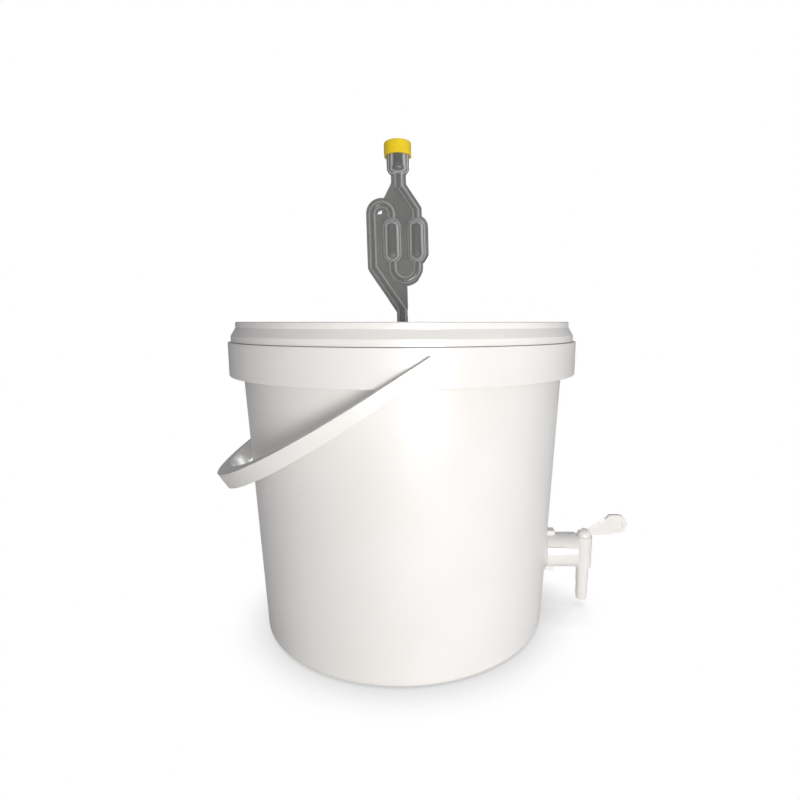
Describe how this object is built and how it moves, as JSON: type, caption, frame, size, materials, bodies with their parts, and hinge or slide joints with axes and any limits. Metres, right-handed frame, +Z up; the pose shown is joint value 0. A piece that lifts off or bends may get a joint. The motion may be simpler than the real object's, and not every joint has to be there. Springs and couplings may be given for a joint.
{
  "type": "fermentation bucket with airlock",
  "caption": "White plastic fermentation bucket with a press-on lid, a twin-chamber airlock, a handle and a drain tap.",
  "frame": {"origin": "middle of the bucket's underside, on the bucket's axis", "axes": "+Z up, +X towards the drain tap (3 degrees off it), -Y towards the viewer of the picture"},
  "size_m": [0.3299, 0.2792, 0.3768],
  "materials": {
    "white_plastic": "gloss",
    "clear_plastic": "gloss",
    "yellow_plastic": "satin",
    "rubber": "matt"
  },
  "bodies": {
    "pail": {"bucket": "white_plastic", "tap_body": "white_plastic", "tap_outer_washer": "rubber", "tap_inner_washer": "rubber", "tap_back_nut": "white_plastic"},
    "handle": {"handle": "white_plastic"},
    "lid": {"lid": "white_plastic", "grommet": "rubber"},
    "airlock": {"airlock_front_half": "clear_plastic", "airlock_rear_half": "clear_plastic"},
    "cap": {"airlock_cap": "yellow_plastic"},
    "valve": {"tap_valve": "white_plastic"}
  },
  "joints": [
    {"name": "handle_swing", "type": "hinge", "parent": "pail", "child": "handle", "pos_m": [0, 0, 0.2164], "axis": [0.1045, -0.9945, 0], "range_deg": [-110, 5.5]},
    {"name": "lid_lift", "type": "slide", "parent": "pail", "child": "lid", "axis": [0, 0, 1], "range_m": [0, 0.06]},
    {"name": "airlock_pull", "type": "slide", "parent": "lid", "child": "airlock", "axis": [-0.0218, 0.0698, 0.9973], "range_m": [0, 0.045]},
    {"name": "cap_pull", "type": "slide", "parent": "airlock", "child": "cap", "axis": [-0.0218, 0.0698, 0.9973], "range_m": [0, 0.015]},
    {"name": "tap_turn", "type": "hinge", "parent": "pail", "child": "valve", "pos_m": [0.15011, -0.00787, 0.05], "axis": [0, 0, 1], "range_deg": [-90, 90]}
  ]
}
